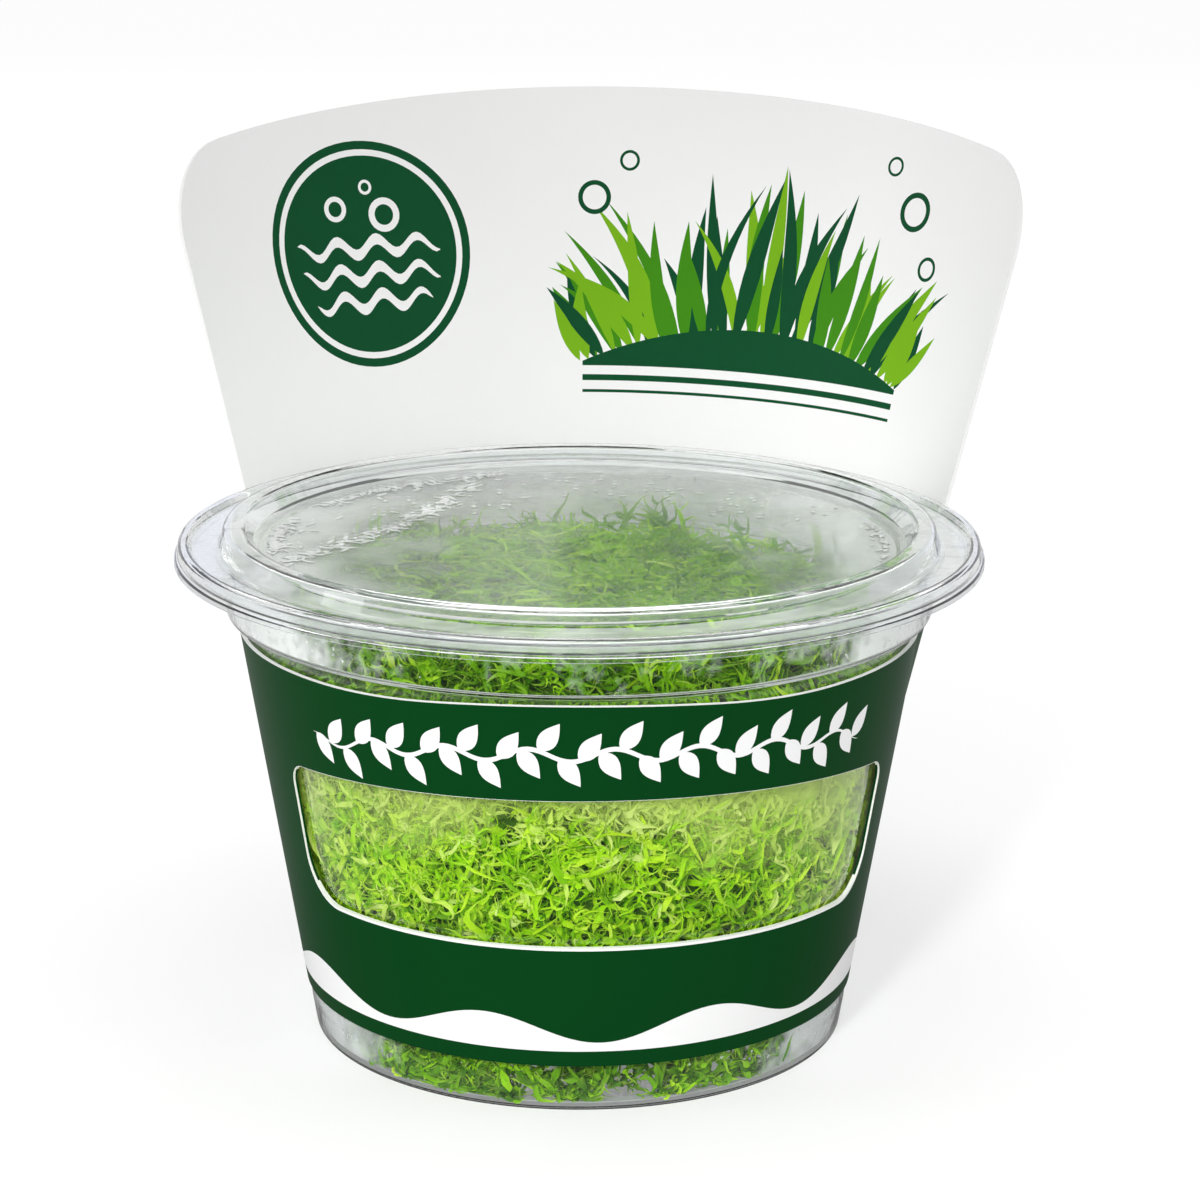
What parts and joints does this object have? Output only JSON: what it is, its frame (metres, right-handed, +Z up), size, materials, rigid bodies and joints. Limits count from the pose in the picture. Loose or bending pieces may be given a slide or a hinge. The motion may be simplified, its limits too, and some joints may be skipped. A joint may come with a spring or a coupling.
{
  "type": "tissue culture plant cup",
  "caption": "Clear snap-lid plastic cup packed with tissue-cultured grassleaf bladderwort, in a card sleeve with a see-through window and a tall curved header.",
  "frame": {"origin": "centre of the bounding box's footprint, on the surface that the foot ring stands on", "axes": "+Z up along the cup's axis; -Y the front, where the window is; +Y the back, where the header stands; +X to the right seen from the front"},
  "size_m": [0.11, 0.1158, 0.1114],
  "materials": {
    "clear_cup": "clear formed plastic, faint cool tint",
    "clear_lid": "clear formed plastic, condensation inside",
    "printed_card": "coated card, printed deep green outside and pale grey inside",
    "leaves": "moist living leaf, lime green with darker hollows"
  },
  "bodies": {
    "root": {"cup": "clear_cup", "lid": "clear_lid", "card_sleeve": "printed_card", "plant_mat": "leaves"}
  },
  "joints": []
}
